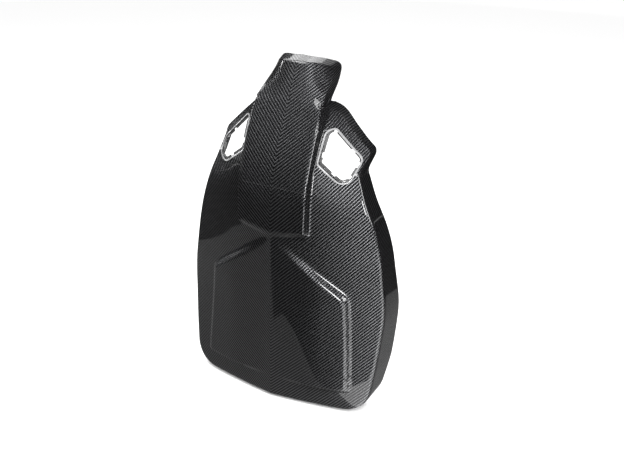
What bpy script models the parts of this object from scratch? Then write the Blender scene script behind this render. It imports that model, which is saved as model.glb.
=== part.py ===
"""Back shell of a racing seat: one carbon laminate with its bonded and clipped fixings.

Metres, +Z up, +X to the right as seen from behind the seat. The show face looks towards -Y and the
hollow side, where the seat's frame sits, towards +Y. The shell is symmetric about x = 0.
"""

import math

import bmesh
import bpy
import numpy as np
from mathutils import Vector

# ---- driving dimensions, metres ---------------------------------------------------------------
SHELL_T = 0.0026  # laminate thickness
EDGE_R = 0.011  # radius between the face and the rim wall
WALL_DRAFT = math.radians(5.0)  # the rim wall opens out by this much
HEAD_DRAFT = math.radians(14.0)  # the same on the headrest
HEAD_DRAFT_Z = (0.70, 0.73)  # where the one passes into the other
ORIGIN_Y = -0.0610  # moves the whole part, so that its box is centred on y = 0
ORIGIN_Z = 0.0048  # and stands on z = 0

# Half outline from the top centre to the bottom centre: x, z, corner radius.
OUTLINE = [
    (0.000, 0.7740, 0.000),
    (0.0420, 0.7715, 0.080),
    (0.0645, 0.7610, 0.014),
    (0.0765, 0.7000, 0.016),
    (0.1745, 0.6060, 0.016),
    (0.1655, 0.5720, 0.030),
    (0.2220, 0.4280, 0.500),
    (0.2470, 0.2620, 0.400),
    (0.2390, 0.1180, 0.400),
    (0.2270, 0.0030, 0.065),
    (0.000, 0.0000, 0.000),
]

# Centre profile: upright below, leaning forward above.
BACK_Y = -0.029
LEAN = 0.54
LEAN_Z = 0.555
LEAN_BLEND = 0.050

# Sweep of the wings by height: z, half width it is measured at, drop there, blend at the hinge.
SWEEP = [
    (0.00, 0.200, 0.030, 0.200),
    (0.05, 0.222, 0.040, 0.200),
    (0.14, 0.238, 0.056, 0.200),
    (0.28, 0.241, 0.069, 0.180),
    (0.39, 0.228, 0.070, 0.150),
    (0.45, 0.213, 0.066, 0.120),
    (0.51, 0.190, 0.058, 0.080),
    (0.565, 0.168, 0.056, 0.040),
    (0.607, 0.168, 0.082, 0.020),
    (0.645, 0.133, 0.062, 0.014),
    (0.685, 0.091, 0.040, 0.012),
    (0.720, 0.074, 0.004, 0.012),
    (0.775, 0.064, 0.004, 0.012),
]
HEAD_DROP = 0.046  # the headrest's top corners roll back by this much
HEAD_X = 0.062
HEAD_Z = (0.690, 0.770)
HINGE_X = 0.070  # where the wings leave the spine

# Depth of the rim wall by height.
WALL = [
    (0.00, 0.055),
    (0.13, 0.078),
    (0.30, 0.062),
    (0.45, 0.048),
    (0.57, 0.036),
    (0.61, 0.022),
    (0.68, 0.030),
    (0.73, 0.026),
    (0.775, 0.024),
]

# Raised spine.
SPINE_X = 0.0765
SPINE_TOP_X = 0.064
SPINE_TAPER_Z = 0.66
SPINE_WIDE_Z = 0.775  # the spine is at its top width from here up
SPINE_RISE = 0.002
SPINE_SIDE = 0.008
SPINE_END_Z = 0.436
SPINE_END_DROP = 0.016
SPINE_END_RUN = 0.012

# Raised lower panel: its half outline, rise and side run.
PANEL = [
    (-0.02, 0.446, 0.000),
    (0.172, 0.298, 0.020),
    (0.190, 0.054, 0.022),
    (-0.02, 0.054, 0.000),
]
PANEL_RISE = 0.012
PANEL_SIDE = 0.009
PANEL_FADE_X = 0.120
PANEL_BLEND = 0.012  # how softly its edges meet

# Harness openings: outline of the lip, x, z, corner radius.
OPENING = [
    (0.0915, 0.6635, 0.009),
    (0.1620, 0.5930, 0.014),
    (0.1470, 0.5450, 0.016),
    (0.0875, 0.5910, 0.010),
]
LIP_RISE = 0.001
LIP_W = 0.003
LIP_SINK = 0.0008  # how far the lip's foot is sunk into the laminate
WELL_DEPTH = 0.004
WELL_T = 0.0024
LEDGE_W = 0.0055
NOTCH_LEFT = 0.0012  # what is left of the ledge in a notch
NOTCHES = [0.07, 0.28, 0.41, 0.50, 0.66, 0.86]  # middles, as shares of the way round
NOTCH_HALF = 0.016  # half a notch, in the same shares
NOTCH_RAMP = 0.003  # the run from the ledge down into a notch, in the same shares

# Fixings on the hollow side.
GAP = 0.0004  # clearance between separate pieces
BOND = 0.0009  # adhesive line under a piece that follows the laminate
LEVELS = ("top", "upper", "lower", "bottom")
TOWERS = [(0.130, 0.492), (0.170, 0.385), (0.130, 0.235), (0.130, 0.110)]
TOWER_FLANGE = (0.034, 0.026, 0.0022)
TOWER_BLADE = (0.018, 0.003)
TOWER_HEIGHT = 0.024
TOWER_RIB = (0.003, 0.013, 0.0095)
CLIP_T = 0.0006
CLIP_W = 0.011
CLIP_LENGTH = 0.0115
CLIP_BARB = 0.0032
CLIP_CORNER = 0.0006
BARB_END = (0.0073, 0.0050)  # below the crown, the barb's tip and the start of its slope
CLIP_FOOT = (0.0003, 0.0012)  # the bend at the foot: along the leg, out from it
BRACKET_X = 0.095
BRACKET_W = 0.040
BRACKET_T = 0.0025
BRACKET_FOOT = 0.022
BRACKET_TAB = 0.030
BRACKET_INSET = 0.008  # from the rim to the tab
BRACKET_HOLE_R = 0.0033
HOLE_DOWN = 0.0125  # from the tab's top edge to the screw hole
NUT_T = 0.0008
NUT_W = 0.016
NUT_LEG = 0.0195
NUT_BARREL_R = 0.0046
NUT_BARREL_H = 0.0045
NUT_BORE_R = 0.0025
PIN_PLACE = (0.036, 0.715)
PIN_BOND = 0.0009
PIN_PROFILE = [
    (0.0120, 0.0),
    (0.0120, 0.0020),
    (0.0062, 0.0038),
    (0.0058, 0.0150),
    (0.0036, 0.0215),
    (0.0, 0.0215),
]
STRIPS = [(0.040, 0.525, 0.018, 0.090), (0.055, 0.170, 0.018, 0.110)]  # x, z, width, length
STRIP_T = 0.007

# ---- mesh density -----------------------------------------------------------------------------
SIDE_STEPS = 44  # points along the half outline
SPINE_STEPS = 4  # from the centre line to the spine's side
STEP_STEPS = 2  # down the spine's side
FACE_STEPS = 9  # from there to the edge
MIN_SPREAD_X = 0.120  # lines shorter than this keep their points in proportion
ARC_STEPS = 3
WALL_STEPS = 2
OPENING_STEPS = 40
ROUND_STEPS = 20
WELL_FINE = 400  # points round an opening that the well's stations are picked from
CENTRE_ENDS = (0.040, 0.060)  # the section lines start this far in from the top and the bottom
BY_HEIGHT = 0.8  # their spread along the centre line: this share by height, the rest by count
EDGE_PROBE = 0.7  # where the face's slope towards the edge is read, in edge radii
CUTTER_Y = (-0.15, 0.25)
HOLE_REACH = 0.03
# Stretches of the outline with more points: middle z, reach, least x, extra share.
DENSER = [(0.59, 0.05, 0.12, 1.5), (0.77, 0.03, -1.0, 1.2), (0.03, 0.05, 0.15, 1.0)]


def table(rows, z, column=1):
    """A smooth curve through one column of a table, read at z."""
    zs = [row[0] for row in rows]
    values = [row[column] for row in rows]
    if z <= zs[0]:
        return values[0]
    if z >= zs[-1]:
        return values[-1]
    slopes = [(b - a) / (d - c) for a, b, c, d in zip(values, values[1:], zs, zs[1:])]
    tangents = [0.0]
    for before, after in zip(slopes, slopes[1:]):
        product = before * after
        tangents.append(2 * product / (before + after) if product > 0 else 0.0)
    tangents.append(0.0)
    i = max(k for k in range(len(zs) - 1) if zs[k] <= z)
    span = zs[i + 1] - zs[i]
    t = (z - zs[i]) / span
    ease = t * t * (3 - 2 * t)
    lift = t * (1 - t) * span * ((1 - t) * tangents[i] - t * tangents[i + 1])
    return values[i] + (values[i + 1] - values[i]) * ease + lift


def hinge(distance, blend):
    """Zero well below 0, the distance itself well above it, and smooth between."""
    return 0.5 * (distance + math.sqrt(distance * distance + blend * blend))


def smooth(t):
    """A step from 0 to 1 as t goes from 0 to 1."""
    t = min(max(t, 0.0), 1.0)
    return t * t * (3 - 2 * t)


def centre_y(z):
    return BACK_Y + LEAN * hinge(z - LEAN_Z, LEAN_BLEND)


def wing_drop(x, z):
    """How far the swept wings lie from the centre line's plane, towards the hollow side."""
    width = table(SWEEP, z, 1)
    drop = table(SWEEP, z, 2)
    blend = table(SWEEP, z, 3)
    start = min(HINGE_X, 0.9 * width)
    zero = hinge(-start, blend)
    return drop * (hinge(x - start, blend) - zero) / (hinge(width - start, blend) - zero)


def polygon_distance(x, z, corners):
    """Distance to a convex outline with its corners listed clockwise: negative inside."""
    worst = -1.0
    for (x0, z0, _), (x1, z1, _) in zip(corners, corners[1:]):
        length = math.hypot(x1 - x0, z1 - z0)
        side = ((x - x0) * -(z1 - z0) + (z - z0) * (x1 - x0)) / length
        worst = smooth_max(worst, side, PANEL_BLEND)
    return worst


def smooth_max(a, b, blend):
    return 0.5 * (a + b + math.sqrt((a - b) ** 2 + blend * blend * 0.25))


def spine_share(x, z):
    """1 on the raised spine, 0 off it."""
    half = SPINE_X + (SPINE_TOP_X - SPINE_X) * smooth((z - SPINE_TAPER_Z) / (SPINE_WIDE_Z - SPINE_TAPER_Z))
    across = 1 - smooth((x - half) / SPINE_SIDE)
    end = SPINE_END_Z - SPINE_END_DROP * (1 - x / SPINE_X)
    along = smooth((z - end) / SPINE_END_RUN)
    return across * along


def face_y(x, z):
    """The show face's y at a place on it."""
    x = abs(x)
    drop = wing_drop(x, z)
    spine = spine_share(x, z)
    drop = drop * (1 - spine) - SPINE_RISE * spine
    drop += HEAD_DROP * smooth((z - HEAD_Z[0]) / (HEAD_Z[1] - HEAD_Z[0])) * (x / HEAD_X) ** 3
    inside = smooth(-polygon_distance(x, z, PANEL) / PANEL_SIDE)
    drop -= PANEL_RISE * inside * smooth(x / PANEL_FADE_X)
    return centre_y(z) + drop


def rounded(corners, closed=False, step=0.004):
    """Points along a line of corners, each turned into an arc of its own radius."""
    points = [np.array(corner[:2]) for corner in corners]
    radii = [corner[2] for corner in corners]
    count = len(points)
    path = []
    for i in range(count):
        if not closed and i in (0, count - 1):
            path.append(points[i])
            continue
        before = points[i - 1] - points[i]
        after = points[(i + 1) % count] - points[i]
        reach_before = np.linalg.norm(before)
        reach_after = np.linalg.norm(after)
        before = before / reach_before
        after = after / reach_after
        half = 0.5 * math.acos(float(np.clip(before @ after, -1, 1)))
        cut = min(radii[i] / math.tan(half), 0.49 * reach_before, 0.49 * reach_after)
        radius = cut * math.tan(half)
        middle = before + after
        centre = points[i] + middle / np.linalg.norm(middle) * radius / math.sin(half)
        first = points[i] + before * cut - centre
        last = points[i] + after * cut - centre
        turn = math.pi - 2 * half
        side = math.copysign(1.0, first[0] * last[1] - first[1] * last[0])
        arcs = max(3, round(turn * radius / step))
        for k in range(arcs + 1):
            angle = side * turn * k / arcs
            cos, sin = math.cos(angle), math.sin(angle)
            path.append(centre + np.array([first[0] * cos - first[1] * sin, first[0] * sin + first[1] * cos]))
    if closed:
        path.append(path[0])
    return np.array(path)


def even(path, count, weight=None):
    """The same line with its points spread evenly, or by a weight."""
    spans = np.linalg.norm(np.diff(path, axis=0), axis=1)
    if weight is not None:
        middles = 0.5 * (path[1:] + path[:-1])
        spans = spans * np.array([weight(x, z) for x, z in middles])
    along = np.concatenate([[0.0], np.cumsum(spans)])
    wanted = np.linspace(0.0, along[-1], count + 1)
    return np.column_stack([np.interp(wanted, along, path[:, 0]), np.interp(wanted, along, path[:, 1])])


def dense(path, step=0.001):
    """The line with extra points, so that a later even spread follows it closely."""
    length = np.linalg.norm(np.diff(path, axis=0), axis=1).sum()
    return even(path, int(length / step))


def inward(points, closed=False):
    """Unit normals to the right of the direction of travel."""
    if closed:
        tangents = np.roll(points, -1, axis=0) - np.roll(points, 1, axis=0)
    else:
        tangents = np.gradient(points, axis=0)
        tangents[0] = [1.0, 0.0]
        tangents[-1] = [-1.0, 0.0]
    tangents = tangents / np.linalg.norm(tangents, axis=1)[:, None]
    return np.column_stack([tangents[:, 1], -tangents[:, 0]])


def outline_weight(x, z):
    """More points at the shoulder and at the corners."""
    weight = 1.0
    for middle, reach, least_x, extra in DENSER:
        if x > least_x:
            weight += extra * math.exp(-(((z - middle) / reach) ** 2))
    return weight


def face_shares(edge_x):
    """Shares of the way from the centre line to the edge, with one at each side of the spine's step."""
    wide = max(edge_x, MIN_SPREAD_X)
    inner, outer = SPINE_X / wide, (SPINE_X + SPINE_SIDE) / wide
    spine = np.linspace(0.0, inner, SPINE_STEPS + 1)
    step = np.linspace(inner, outer, STEP_STEPS + 1)[1:]
    wing = np.linspace(outer, 1.0, FACE_STEPS + 1)[1:]
    return np.concatenate([spine, step, wing])


def section(point, normal, share):
    """One line of the skin, from the centre line out over the edge and along the rim wall."""
    x_out, z_out = point
    top = OUTLINE[0][1]
    spread = BY_HEIGHT * (1 - z_out / top) + (1 - BY_HEIGHT) * share
    high, low = top - CENTRE_ENDS[0], CENTRE_ENDS[1]
    centre = np.array([0.0, high + (low - high) * spread])
    probe = point + normal * EDGE_R * EDGE_PROBE
    small = 0.002
    farther = probe - normal * small
    slope = (face_y(*farther) - face_y(*probe)) / small
    start = math.atan(slope)
    head = smooth((z_out - HEAD_DRAFT_Z[0]) / (HEAD_DRAFT_Z[1] - HEAD_DRAFT_Z[0]))
    draft = WALL_DRAFT + (HEAD_DRAFT - WALL_DRAFT) * head
    end = 0.5 * math.pi - draft
    start = min(start, end - 0.2)
    run = EDGE_R * (math.sin(end) - math.sin(start))
    edge = point + normal * run
    line = []
    for share in face_shares(edge[0]):
        place = centre + (edge - centre) * share
        line.append((place[0], face_y(place[0], place[1]), place[1]))
    edge_y = line[-1][1]
    for k in range(1, ARC_STEPS + 1):
        angle = start + (end - start) * k / ARC_STEPS
        place = edge - normal * EDGE_R * (math.sin(angle) - math.sin(start))
        line.append((place[0], edge_y + EDGE_R * (math.cos(start) - math.cos(angle)), place[1]))
    arc_y = line[-1][1]
    depth = table(WALL, z_out)
    for k in range(1, WALL_STEPS + 1):
        back = depth * k / WALL_STEPS
        place = point - normal * back * math.tan(draft)
        line.append((place[0], arc_y + back, place[1]))
    return line


def skin_points():
    """The outer skin of the right half as a grid: one row per outline point."""
    path = dense(rounded(OUTLINE))
    points = even(path, SIDE_STEPS, outline_weight)
    normals = inward(points)
    last = len(points) - 1
    return np.array([section(points[i], normals[i], i / last) for i in range(len(points))])


def grid_normals(grid):
    """Unit normals of a grid of points, facing out of the show side."""
    along = np.gradient(grid, axis=0)
    across = np.gradient(grid, axis=1)
    normals = np.cross(along, across)
    for row, point in enumerate(grid[:, 0]):
        normals[row, 0] = face_normal(0.0, point[2])
    normals[0, :, 0] = 0.0
    normals[-1, :, 0] = 0.0
    return normals / np.linalg.norm(normals, axis=2)[:, :, None]


def face_normal(x, z, small=0.001):
    """The show face's unit normal."""
    across = (face_y(x + small, z) - face_y(x - small, z)) / (2 * small)
    up = (face_y(x, z + small) - face_y(x, z - small)) / (2 * small)
    return np.array([across, -1.0, up]) / math.sqrt(1 + across * across + up * up)


def inner_y(x, z):
    """The y of the laminate's hollow side."""
    return face_y(x, z) - SHELL_T / face_normal(x, z)[1]


# ==== objects ==================================================================================
def clear_scene():
    for obj in list(bpy.data.objects):
        bpy.data.objects.remove(obj, do_unlink=True)


def material(name, colour, roughness, metallic=0.0, coat=0.0):
    made = bpy.data.materials.new(name)
    made.use_nodes = True
    shader = made.node_tree.nodes["Principled BSDF"]
    shader.inputs["Base Color"].default_value = (*colour, 1.0)
    shader.inputs["Roughness"].default_value = roughness
    shader.inputs["Metallic"].default_value = metallic
    shader.inputs["Coat Weight"].default_value = coat
    made.diffuse_color = (*colour, 1.0)
    return made


def new_object(name, points, faces, finish=None, smooth_angle=None):
    """An object from points and faces, with doubled points merged and its faces turned out."""
    mesh = bpy.data.meshes.new(name)
    mesh.from_pydata([tuple(map(float, point)) for point in points], [], faces)
    work = bmesh.new()
    work.from_mesh(mesh)
    bmesh.ops.remove_doubles(work, verts=work.verts, dist=1e-6)
    bmesh.ops.recalc_face_normals(work, faces=work.faces)
    work.to_mesh(mesh)
    work.free()
    obj = bpy.data.objects.new(name, mesh)
    bpy.context.scene.collection.objects.link(obj)
    if finish:
        mesh.materials.append(finish)
    if smooth_angle:
        mesh.shade_smooth()
        mesh.set_sharp_from_angle(angle=smooth_angle)
    return obj


def combine(base, tool, operation, solver="EXACT"):
    """Applies one Boolean to an object's mesh and removes the tool."""
    cut = base.modifiers.new("Boolean", "BOOLEAN")
    cut.operation = operation
    cut.solver = solver
    cut.object = tool
    bpy.context.view_layer.update()
    graph = bpy.context.evaluated_depsgraph_get()
    done = bpy.data.meshes.new_from_object(base.evaluated_get(graph))
    base.modifiers.remove(cut)
    base.data = done
    bpy.data.objects.remove(tool, do_unlink=True)


def grid_faces(rows, columns, offset=0):
    """Quads over a grid of points stored row by row."""
    faces = []
    for i in range(rows - 1):
        for j in range(columns - 1):
            a = offset + i * columns + j
            faces.append((a, a + columns, a + columns + 1, a + 1))
    return faces


def shell_half(side):
    """Points and faces of one half of the laminate: outer skin, inner skin and the rim between."""
    outer = skin_points()
    inner = outer - grid_normals(outer) * SHELL_T
    rows, columns = outer.shape[:2]
    points = np.concatenate([outer.reshape(-1, 3), inner.reshape(-1, 3)]) * [side, 1, 1]
    second = rows * columns
    faces = grid_faces(rows, columns) + grid_faces(rows, columns, second)
    for i in range(rows - 1):
        a = i * columns + columns - 1
        faces.append((a, a + columns, a + columns + second, a + second))
    return points, faces


def make_shell(finish):
    right, faces = shell_half(1)
    left, _ = shell_half(-1)
    moved = [tuple(corner + len(right) for corner in face) for face in faces]
    shell = new_object("back_shell", np.concatenate([right, left]), faces + moved)
    for side in (1, -1):
        combine(shell, opening_cutter(side), "DIFFERENCE")
    for side in (1, -1):
        combine(shell, opening_well(side), "UNION", "MANIFOLD")
    shell.data.materials.clear()
    shell.data.materials.append(finish)
    shell.data.shade_smooth()
    shell.data.set_sharp_from_angle(angle=math.radians(35))
    return shell


def opening_line(count):
    """The lip's outline, with unit normals that point away from the opening."""
    points = even(dense(rounded(OPENING, closed=True), 0.0005), count)[:-1]
    return points, -inward(points, closed=True)


def opening_cutter(side):
    points, normals = opening_line(OPENING_STEPS)
    line = points + normals * WELL_T * 0.5
    count = len(line)
    corners = [(side * x, y, z) for y in CUTTER_Y for x, z in line]
    faces = [tuple(range(count)), tuple(range(count, 2 * count))]
    for i in range(count):
        j = (i + 1) % count
        faces.append((i, j, j + count, i + count))
    return new_object("opening_cutter", corners, faces)


def ledge_widths(count):
    """Shares of the way round the opening and the ledge's width at each, with its notches."""
    stations = [(k / count, LEDGE_W) for k in range(count)]
    for middle in NOTCHES:
        low, high = middle - NOTCH_HALF, middle + NOTCH_HALF
        clear_low, clear_high = low - 2 * NOTCH_RAMP, high + 2 * NOTCH_RAMP
        stations = [station for station in stations if not clear_low < station[0] < clear_high]
        stations += [(low - NOTCH_RAMP, LEDGE_W), (low, NOTCH_LEFT)]
        stations += [(high, NOTCH_LEFT), (high + NOTCH_RAMP, LEDGE_W)]
    return sorted(stations)


def opening_well(side):
    """The turned-in wall round an opening, with a low lip on the face and the notched ledge inside."""
    points, normals = opening_line(WELL_FINE)
    stations = ledge_widths(OPENING_STEPS)
    corners = []
    for share, width in stations:
        i = round(share * WELL_FINE) % WELL_FINE
        point, normal = points[i], normals[i]
        rim = face_y(*point)
        bottom = rim + WELL_DEPTH
        outside = point + normal * LIP_W
        crest = point + normal * LIP_W * 0.5
        back = point + normal * WELL_T
        inside = point - normal * width
        corners += [
            (outside[0], face_y(*outside) + LIP_SINK, outside[1]),
            (crest[0], face_y(*crest) - LIP_RISE, crest[1]),
            (point[0], rim - LIP_RISE * 0.5, point[1]),
            (point[0], bottom, point[1]),
            (inside[0], bottom, inside[1]),
            (inside[0], bottom + WELL_T, inside[1]),
            (back[0], bottom + WELL_T, back[1]),
        ]
    corners = [(side * x, y, z) for x, y, z in corners]
    return new_object("opening_well", corners, loop_faces(len(stations), 7))


def loop_faces(sections, size):
    """Quads between closed sections that follow each other round a closed loop."""
    faces = []
    for i in range(sections):
        for j in range(size):
            a, b = i * size + j, i * size + (j + 1) % size
            c, d = (i + 1) % sections * size + (j + 1) % size, (i + 1) % sections * size + j
            faces.append((a, b, c, d))
    return faces


def standing_block(name, x, z, width, length, top):
    """A block with a flat top whose foot follows the middle of a flange on the hollow side."""
    places = [(x + i * width / 2, z + j * length / 2) for i in (-1, 1) for j in (-1, 1)]
    sink = BOND + TOWER_FLANGE[2] * 0.5
    corners = [(px, inner_y(px, pz) + sink, pz) for px, pz in places]
    corners += [(px, top, pz) for px, pz in places]
    faces = [(0, 1, 3, 2), (4, 6, 7, 5), (0, 4, 5, 1), (2, 3, 7, 6), (0, 2, 6, 4), (1, 5, 7, 3)]
    return new_object(name, corners, faces)


def surface_pad(name, x, z, width, length, thickness, steps, finish=None):
    """A plate that follows the hollow side, one bond line off it."""
    layers = []
    for lift in (BOND, BOND + thickness):
        for i in range(steps[1] + 1):
            for j in range(steps[0] + 1):
                px = x + width * (j / steps[0] - 0.5)
                pz = z + length * (i / steps[1] - 0.5)
                layers.append((px, inner_y(px, pz) + lift, pz))
    rows, columns = steps[1] + 1, steps[0] + 1
    second = rows * columns
    faces = grid_faces(rows, columns) + grid_faces(rows, columns, second)
    border = [i * columns for i in range(rows)] + [(rows - 1) * columns + j for j in range(1, columns)]
    border += [i * columns + columns - 1 for i in range(rows - 2, -1, -1)]
    border += list(range(columns - 2, 0, -1))
    for a, b in zip(border, border[1:] + border[:1]):
        faces.append((a, b, b + second, a + second))
    return new_object(name, layers, faces, finish)


def clip_tower(name, x, z, finish):
    """A moulded foot bonded to the laminate, with the blade and two ribs that carry a spring clip."""
    width, length, thickness = TOWER_FLANGE
    tower = surface_pad(name, x, z, width, length, thickness, (2, 2), finish)
    base = inner_y(x, z)
    blade_w, blade_t = TOWER_BLADE
    rib_t, rib_w, rib_h = TOWER_RIB
    combine(tower, standing_block("blade", x, z, blade_w, blade_t, base + TOWER_HEIGHT), "UNION")
    combine(tower, standing_block("rib", x, z, rib_t, rib_w, base + rib_h), "UNION")
    tower.data.name = name
    return tower


def ribbon(path, thickness):
    """The outline of a strip bent along a path, as a closed polygon."""
    line = np.array(path, float)
    spans = np.diff(line, axis=0)
    spans = spans / np.linalg.norm(spans, axis=1)[:, None]
    sides = np.column_stack([-spans[:, 1], spans[:, 0]])
    first, last = [], []
    for i in range(len(line)):
        before = sides[max(i - 1, 0)]
        after = sides[min(i, len(sides) - 1)]
        mitre = before + after
        mitre = mitre / (mitre @ before)
        first.append(line[i] + mitre * thickness * 0.5)
        last.append(line[i] - mitre * thickness * 0.5)
    return first + last[::-1]


def extruded(name, outline, low_x, high_x, finish=None):
    """A (y, z) outline drawn out along x."""
    count = len(outline)
    corners = [(x, y, z) for x in (low_x, high_x) for y, z in outline]
    faces = [tuple(range(count)), tuple(range(count, 2 * count))]
    for i in range(count):
        j = (i + 1) % count
        faces.append((i, j, j + count, i + count))
    return new_object(name, corners, faces, finish)


def spring_clip(name, x, z, finish):
    """A folded steel strip that straddles the blade, with barbs that spring outwards."""
    top = inner_y(x, z) + TOWER_HEIGHT
    half = TOWER_BLADE[1] / 2 + GAP + CLIP_T / 2
    crown = top + GAP + CLIP_T / 2
    foot = top - CLIP_LENGTH
    side = [
        (crown - BARB_END[0], half + CLIP_BARB),
        (crown - BARB_END[1], half + CLIP_BARB),
        (foot + CLIP_FOOT[0], half + CLIP_FOOT[1]),
    ]
    leg = [(foot, half), (crown - CLIP_CORNER, half), (crown, half - CLIP_CORNER)]
    path = side + leg
    path = path + [(y, -w) for y, w in reversed(path)]
    outline = [(y, z + w) for y, w in ribbon(path, CLIP_T)]
    return extruded(name, outline, x - CLIP_W / 2, x + CLIP_W / 2, finish)


def bottom_wall(x):
    """Two (y, z) points on the hollow side of the bottom wall at x, the rim last."""
    corner_x, corner_z, _ = OUTLINE[-2]
    line = section(np.array([x, corner_z * x / corner_x]), np.array([0.0, 1.0]), 1.0)
    lift = SHELL_T / math.cos(WALL_DRAFT)
    return [(y, z + lift) for _, y, z in (line[-1 - WALL_STEPS], line[-1])]


def cylinder(name, x, z, radius, low_y, high_y):
    """A round bar along y."""
    turns = [2 * math.pi * k / ROUND_STEPS for k in range(ROUND_STEPS)]
    corners = [
        (x + radius * math.cos(a), y, z + radius * math.sin(a)) for y in (low_y, high_y) for a in turns
    ]
    count = ROUND_STEPS
    faces = [tuple(range(count)), tuple(range(count, 2 * count))]
    faces += [(i, (i + 1) % count, (i + 1) % count + count, i + count) for i in range(count)]
    return new_object(name, corners, faces)


def bracket_places(side):
    """The bracket's middle x, its tab's two faces in y, and the tab's foot and top in z."""
    x = side * BRACKET_X
    (near_y, near_z), (rim_y, rim_z) = bottom_wall(BRACKET_X - BRACKET_W / 2)
    other = bottom_wall(BRACKET_X + BRACKET_W / 2)
    back = rim_y - BRACKET_INSET
    slope = (rim_z - near_z) / (rim_y - near_y)
    lift = BOND + max(0.0, other[0][1] - near_z)
    foot_z = rim_z + slope * (back - rim_y) + lift
    return x, back, foot_z, slope


def screw_bracket(name, side, finish):
    """An L-shaped tab bonded inside the bottom wall, with the hole for one frame screw."""
    x, back, foot_z, slope = bracket_places(side)
    front_z = foot_z - slope * BRACKET_FOOT
    outline = [
        (back - BRACKET_FOOT, front_z),
        (back, foot_z),
        (back, foot_z + BRACKET_TAB),
        (back - BRACKET_T, foot_z + BRACKET_TAB),
        (back - BRACKET_T, foot_z - slope * BRACKET_T + BRACKET_T),
        (back - BRACKET_FOOT, front_z + BRACKET_T),
    ]
    bracket = extruded(name, outline, x - BRACKET_W / 2, x + BRACKET_W / 2, finish)
    hole_z = foot_z + BRACKET_TAB - HOLE_DOWN
    hole = cylinder("hole", x, hole_z, BRACKET_HOLE_R, back - HOLE_REACH, back + HOLE_REACH)
    combine(bracket, hole, "DIFFERENCE")
    bracket.data.name = name
    return bracket


def u_nut(name, side, finish):
    """A spring-steel nut folded over the bracket's top edge, its threaded barrel on the inner leg."""
    x, back, foot_z, _ = bracket_places(side)
    top = foot_z + BRACKET_TAB
    half = NUT_T / 2
    front_y = back - BRACKET_T - GAP - half
    back_y = back + GAP + half
    crown = top + GAP + half
    path = [(back_y, top - NUT_LEG), (back_y, crown), (front_y, crown), (front_y, top - NUT_LEG)]
    nut = extruded(name, ribbon(path, NUT_T), x - NUT_W / 2, x + NUT_W / 2, finish)
    hole_z = top - HOLE_DOWN
    barrel = cylinder("barrel", x, hole_z, NUT_BARREL_R, front_y - NUT_BARREL_H, front_y + half * 0.5)
    combine(nut, barrel, "UNION")
    combine(nut, cylinder("bore", x, hole_z, NUT_BORE_R, back - HOLE_REACH, back + HOLE_REACH), "DIFFERENCE")
    nut.data.name = name
    return nut


def locating_pin(name, side, finish):
    """A turned plastic pin that stands square to the headrest's hollow side."""
    corners = []
    for radius, height in PIN_PROFILE[:-1]:
        for k in range(ROUND_STEPS):
            angle = 2 * math.pi * k / ROUND_STEPS
            corners.append((radius * math.cos(angle), radius * math.sin(angle), height))
    rings = len(PIN_PROFILE) - 1
    faces = [tuple(range(ROUND_STEPS)), tuple(range((rings - 1) * ROUND_STEPS, rings * ROUND_STEPS))]
    for i in range(rings - 1):
        for k in range(ROUND_STEPS):
            a, b = i * ROUND_STEPS + k, i * ROUND_STEPS + (k + 1) % ROUND_STEPS
            faces.append((a, b, b + ROUND_STEPS, a + ROUND_STEPS))
    pin = new_object(name, corners, faces, finish, math.radians(35))
    x, z = PIN_PLACE
    axis = -face_normal(x, z) * [side, 1, 1]
    foot = np.array([side * x, face_y(x, z), z]) + axis * (SHELL_T + PIN_BOND)
    pin.rotation_mode = "QUATERNION"
    pin.rotation_quaternion = Vector(axis).to_track_quat("Z", "Y")
    pin.location = foot
    return pin


def main():
    clear_scene()
    carbon = material("carbon_laminate", (0.012, 0.012, 0.013), 0.18, coat=1.0)
    nylon = material("moulded_nylon", (0.030, 0.030, 0.032), 0.55)
    spring_steel = material("spring_steel", (0.42, 0.42, 0.44), 0.32, metallic=1.0)
    zinc_steel = material("zinc_plated_steel", (0.62, 0.60, 0.56), 0.35, metallic=1.0)
    foam = material("closed_cell_foam", (0.050, 0.050, 0.052), 0.95)
    pieces = [make_shell(carbon)]
    for hand, side in (("left", -1), ("right", 1)):
        for level, (x, z) in zip(LEVELS, TOWERS):
            pieces.append(clip_tower(f"clip_tower_{level}_{hand}", side * x, z, nylon))
            pieces.append(spring_clip(f"spring_clip_{level}_{hand}", side * x, z, spring_steel))
        pieces.append(screw_bracket(f"screw_bracket_{hand}", side, zinc_steel))
        pieces.append(u_nut(f"u_nut_{hand}", side, spring_steel))
        pieces.append(locating_pin(f"locating_pin_{hand}", side, nylon))
        for level, (x, z, width, length) in zip(("upper", "lower"), STRIPS):
            name = f"foam_strip_{level}_{hand}"
            pieces.append(surface_pad(name, side * x, z, width, length, STRIP_T, (2, 6), foam))
    frame = bpy.data.objects.new("base_centre", None)
    frame.location = (0.0, ORIGIN_Y, ORIGIN_Z)
    bpy.context.scene.collection.objects.link(frame)
    for piece in pieces:
        piece.parent = frame


main()
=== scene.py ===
"""Looks of the racing seat's back shell: the finely curved laminate with its twill, the wells of the
harness openings, the foam strips, and the finish of every fixing.

The shape formulas are the ones that part.py drives the CAD with, read on a finer grid. They are in
the design's own axes: metres, +X to the right seen from behind the seat, the show face towards -Y,
+Z up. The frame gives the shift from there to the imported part.
"""

import math

import bmesh
import bpy
import numpy as np
from mathutils import Matrix, Vector


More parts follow.
